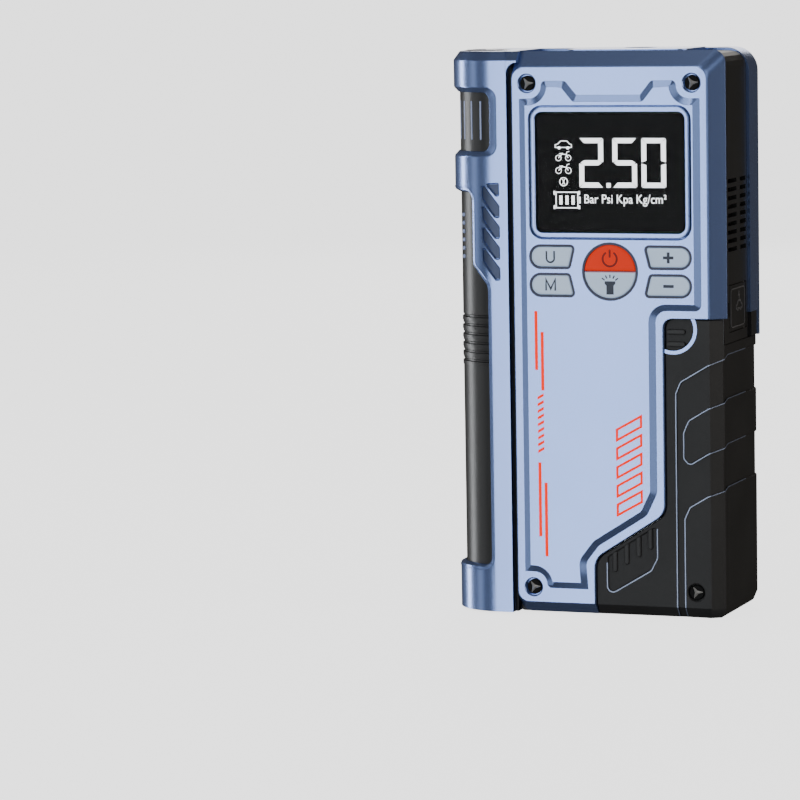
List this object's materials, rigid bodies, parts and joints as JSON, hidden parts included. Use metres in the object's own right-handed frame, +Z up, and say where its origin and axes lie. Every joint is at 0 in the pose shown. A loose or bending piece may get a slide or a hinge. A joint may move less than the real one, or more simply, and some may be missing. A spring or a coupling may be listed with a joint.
{
  "type": "jump starter pack",
  "caption": "Upright handheld jump starter with built-in tyre inflator: front display, keypad, side torch column, rubber side grip and hinged port cover.",
  "frame": {"origin": "centre of the bounding box footprint, on the surface the pack stands on", "axes": "+Z up along the height, -Y out of the display face, +X towards the vents and the grip"},
  "size_m": [0.098, 0.05, 0.19],
  "materials": {
    "slate_blue": "satin metallic paint",
    "black_plastic": "fine matt texture",
    "black_rubber": "matt",
    "button_light": "satin",
    "button_orange": "satin",
    "display_glass": "dark gloss",
    "display_black": "gloss",
    "clear_lens": "clear gloss",
    "reflector": "mirror",
    "led": "gloss",
    "black_steel": "black oxide",
    "steel": "bare",
    "alloy": "cast",
    "brass": "turned",
    "copper": "rolled copper strip",
    "board": "solder mask",
    "capacitor_wrap": "shrink wrap",
    "cell_foil": "pouch foil"
  },
  "bodies": {
    "housing": {"air_outlet": "brass", "air_pipe": "black_plastic", "battery_busbar": "copper", "battery_cell_1": "cell_foil", "battery_cell_2": "cell_foil", "battery_cell_3": "cell_foil", "battery_cell_4": "cell_foil", "battery_tray": "black_plastic", "board_capacitor": "capacitor_wrap", "column_shell": "slate_blue", "core_housing": "black_plastic", "cover_screw_1": "black_steel", "cover_screw_2": "black_steel", "cover_screw_3": "black_steel", "display_bezel": "slate_blue", "display_lens": "display_glass", "display_module": "display_black", "front_cover": "slate_blue", "grip_screw": "black_steel", "jump_contact_1": "brass", "jump_contact_2": "brass", "jump_relay": "black_plastic", "keypad_board": "board", "main_board": "board", "motor_body": "steel", "outlet_cap": "slate_blue", "port_block": "black_plastic", "port_hinge_pin": "steel", "pressure_sensor": "black_plastic", "pump_cylinder": "alloy", "pump_frame": "alloy", "pump_head": "alloy", "rear_cover": "slate_blue", "rear_screw_1": "black_steel", "rear_screw_2": "black_steel", "rear_screw_3": "black_steel", "rear_screw_4": "black_steel", "rubber_sole": "black_rubber", "side_grip": "black_rubber", "torch_barrel": "black_plastic", "torch_head": "black_plastic", "torch_led": "led", "torch_lens": "clear_lens", "torch_reflector": "reflector", "usb_socket": "steel", "usb_tongue": "black_plastic"},
    "power_button": {"power_button": "button_orange"},
    "light_button": {"light_button": "button_light"},
    "unit_button": {"unit_button": "button_light"},
    "mode_button": {"mode_button": "button_light"},
    "plus_button": {"plus_button": "button_light"},
    "minus_button": {"minus_button": "button_light"},
    "port_cover": {"port_cover": "black_rubber"},
    "crank": {"crank_gear": "steel"},
    "rotor": {"motor_shaft": "steel", "motor_pinion": "brass", "cooling_fan": "black_plastic"},
    "rod": {"connecting_rod": "alloy"},
    "piston": {"piston": "alloy"}
  },
  "joints": [
    {"name": "power_press", "type": "slide", "parent": "housing", "child": "power_button", "axis": [0, 1, 0], "range_m": [0, 0.0007], "stiffness_N_per_m": 400},
    {"name": "light_press", "type": "slide", "parent": "housing", "child": "light_button", "axis": [0, 1, 0], "range_m": [0, 0.0007], "stiffness_N_per_m": 400},
    {"name": "unit_press", "type": "slide", "parent": "housing", "child": "unit_button", "axis": [0, 1, 0], "range_m": [0, 0.0007], "stiffness_N_per_m": 400},
    {"name": "mode_press", "type": "slide", "parent": "housing", "child": "mode_button", "axis": [0, 1, 0], "range_m": [0, 0.0007], "stiffness_N_per_m": 400},
    {"name": "plus_press", "type": "slide", "parent": "housing", "child": "plus_button", "axis": [0, 1, 0], "range_m": [0, 0.0007], "stiffness_N_per_m": 400},
    {"name": "minus_press", "type": "slide", "parent": "housing", "child": "minus_button", "axis": [0, 1, 0], "range_m": [0, 0.0007], "stiffness_N_per_m": 400},
    {"name": "port_cover_hinge", "type": "hinge", "parent": "housing", "child": "port_cover", "pos_m": [0.0468, 0.0074, 0.10355], "axis": [0, 0, 1], "range_deg": [0, 100]},
    {"name": "crank_spin", "type": "hinge", "parent": "housing", "child": "crank", "pos_m": [0.0018, 0.004, 0.11775], "axis": [1, 0, 0], "continuous": true},
    {"name": "rotor_spin", "type": "hinge", "parent": "housing", "child": "rotor", "pos_m": [0.021, 0.004, 0.135], "axis": [1, 0, 0], "continuous": true},
    {"name": "rod_pivot", "type": "hinge", "parent": "crank", "child": "rod", "pos_m": [-0.01, 0.004, 0.12025], "axis": [1, 0, 0], "continuous": true},
    {"name": "piston_stroke", "type": "slide", "parent": "housing", "child": "piston", "axis": [0, 0, 1], "range_m": [-0.005, 0]}
  ],
  "couplings": [
    {"joint": "rotor_spin", "follows": "crank_spin", "ratio": -3.6},
    {"joint": "rod_pivot", "follows": "crank_spin", "ratio": -1}
  ]
}
